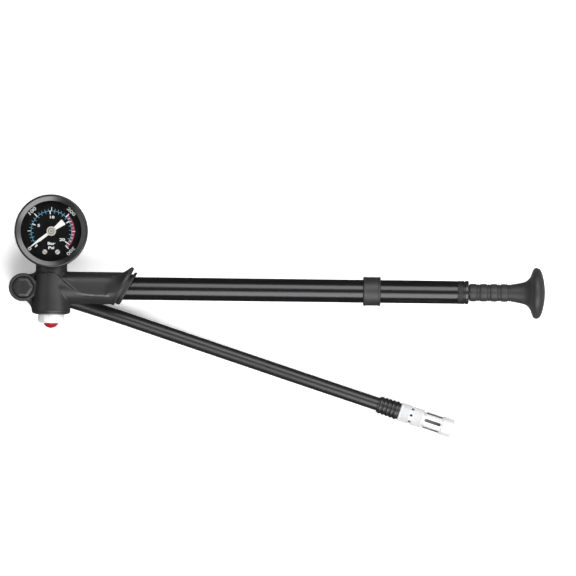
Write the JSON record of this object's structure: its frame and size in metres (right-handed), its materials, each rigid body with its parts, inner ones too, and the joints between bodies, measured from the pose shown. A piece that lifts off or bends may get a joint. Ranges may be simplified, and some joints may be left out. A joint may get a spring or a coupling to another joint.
{
  "type": "shock pump",
  "caption": "High-pressure hand pump for suspension shocks with an inline barrel, palm handle, dial gauge, bleed button and a swivelling hose with a leak-free chuck",
  "frame": {"origin": "bottom centre of the pump's box without its hose and chuck: on the surface the pump lies on, midway along its length and width", "axes": "+X along the barrel from the head to the palm handle, +Y from the bleed button to the gauge, +Z out of the gauge face, away from the surface it lies on"},
  "size_m": [0.3624, 0.1612, 0.0389],
  "materials": {
    "head_plastic": "satin moulded black glass-filled nylon",
    "case_metal": "black painted steel",
    "bezel_metal": "satin black and grey bezel",
    "lens": "clear polycarbonate",
    "dial_face": null,
    "pointer_white": "white enamel",
    "hub_ivory": "ivory hub",
    "brass_parts": "machined brass",
    "bronze_tube": "phosphor bronze",
    "steel_parts": "machined steel",
    "rod_steel": "polished rod",
    "piston_alloy": "machined aluminium",
    "barrel_black": "satin black anodised tube",
    "cap_black": "black anodised, knurled",
    "bush_plastic": "natural acetal",
    "core_plastic": "hard black plastic",
    "grip_rubber": "matt soft-touch rubber",
    "clip_plastic": "matt black plastic",
    "chrome_plate": "chrome plate, knurled",
    "red_plastic": "translucent-looking red plastic",
    "bolt_black": "black oxide steel",
    "fitting_black": "black anodised",
    "black_rubber": "nitrile rubber",
    "hose_rubber": "smooth satin black hose",
    "ferrule_rubber": "ribbed black rubber"
  },
  "bodies": {
    "pump": {"head_body": "head_plastic", "gauge_case": "case_metal", "gauge_bezel": "bezel_metal", "gauge_lens": "lens", "lens_gasket": "black_rubber", "gauge_dial": "dial_face", "dial_screws": "brass_parts", "gauge_stem": "brass_parts", "stem_washer": "black_rubber", "bourdon_tube": "bronze_tube", "tube_tip": "brass_parts", "movement_base": "brass_parts", "movement_bridge": "brass_parts", "barrel_tube": "barrel_black", "barrel_o_ring": "black_rubber", "barrel_end_cap": "cap_black", "rod_bush": "bush_plastic", "hose_clip": "clip_plastic", "valve_seat": "brass_parts", "check_spring": "steel_parts", "bleed_nut": "chrome_plate", "bleed_spring": "steel_parts", "swivel_bolt": "bolt_black", "bolt_o_rings": "black_rubber", "swivel_circlip": "steel_parts"},
    "plunger_seal": {"piston_seal": "black_rubber"},
    "plunger": {"piston": "piston_alloy", "piston_rod": "rod_steel", "handle_core": "core_plastic", "palm_grip": "grip_rubber"},
    "pointer": {"pinion_arbor": "steel_parts", "pointer": "pointer_white", "pointer_hub": "hub_ivory"},
    "sector": {"sector_gear": "brass_parts", "sector_arbor": "steel_parts"},
    "link": {"movement_link": "steel_parts"},
    "bleed_valve": {"bleed_button": "red_plastic", "bleed_stem": "steel_parts", "bleed_seal": "black_rubber"},
    "check_valve": {"check_poppet": "brass_parts"},
    "hose_arm": {"swivel_fitting": "fitting_black", "hose": "hose_rubber", "chuck_ferrule": "ferrule_rubber", "chuck_stem": "brass_parts", "stem_o_ring": "black_rubber", "valve_pin": "steel_parts"},
    "collar": {"grip_collar": "chrome_plate"},
    "gasket_carrier": {"seal_carrier": "brass_parts", "valve_gasket": "black_rubber"},
    "sleeve": {"valve_sleeve": "chrome_plate"}
  },
  "joints": [
    {"name": "piston_slide", "type": "slide", "parent": "pump", "child": "plunger_seal", "axis": [1, 0, 0], "range_m": [0, 0.23]},
    {"name": "handle_spin", "type": "hinge", "parent": "plunger_seal", "child": "plunger", "pos_m": [0.1474, -0.01765, 0.0214], "axis": [1, 0, 0], "continuous": true},
    {"name": "sector_turn", "type": "hinge", "parent": "pump", "child": "sector", "pos_m": [-0.1526, 0.00985, 0.0203], "axis": [0, 0, 1], "range_deg": [0, 43.83]},
    {"name": "pointer_turn", "type": "hinge", "parent": "pump", "child": "pointer", "pos_m": [-0.1526, 0.02035, 0.033], "axis": [0, 0, 1], "range_deg": [-263.01, 0]},
    {"name": "link_turn", "type": "hinge", "parent": "sector", "child": "link", "pos_m": [-0.15417, 0.00595, 0.0212], "axis": [0, 0, 1], "range_deg": [-43.85, 0]},
    {"name": "bleed_press", "type": "slide", "parent": "pump", "child": "bleed_valve", "axis": [0, 1, 0], "range_m": [0, 0.0022], "stiffness_N_per_m": 800, "springref_m": -0.002, "deforming": ["bleed_spring"]},
    {"name": "check_lift", "type": "slide", "parent": "pump", "child": "check_valve", "axis": [-1, 0, 0], "range_m": [0, 0.001], "stiffness_N_per_m": 100, "springref_m": -0.001, "deforming": ["check_spring"]},
    {"name": "hose_swing", "type": "hinge", "parent": "pump", "child": "hose_arm", "pos_m": [-0.1717, -0.01765, 0.0064], "axis": [0, 0, 1], "range_deg": [-335, 17.6]},
    {"name": "chuck_spin", "type": "hinge", "parent": "hose_arm", "child": "collar", "pos_m": [0.08844, -0.10026, 0.0064], "axis": [0.9521, -0.3057, 0], "continuous": true},
    {"name": "gasket_draw", "type": "slide", "parent": "collar", "child": "gasket_carrier", "axis": [-0.9521, 0.3057, 0], "range_m": [0, 0.0012]},
    {"name": "sleeve_turn", "type": "hinge", "parent": "gasket_carrier", "child": "sleeve", "pos_m": [0.10748, -0.10638, 0.0064], "axis": [0.9521, -0.3057, 0], "range_deg": [0, 432.01]}
  ],
  "couplings": [
    {"joint": "pointer_turn", "follows": "sector_turn", "ratio": -6},
    {"joint": "link_turn", "follows": "sector_turn", "ratio": -1},
    {"joint": "sleeve_turn", "follows": "gasket_draw", "rad_per_m": 6283.2}
  ]
}
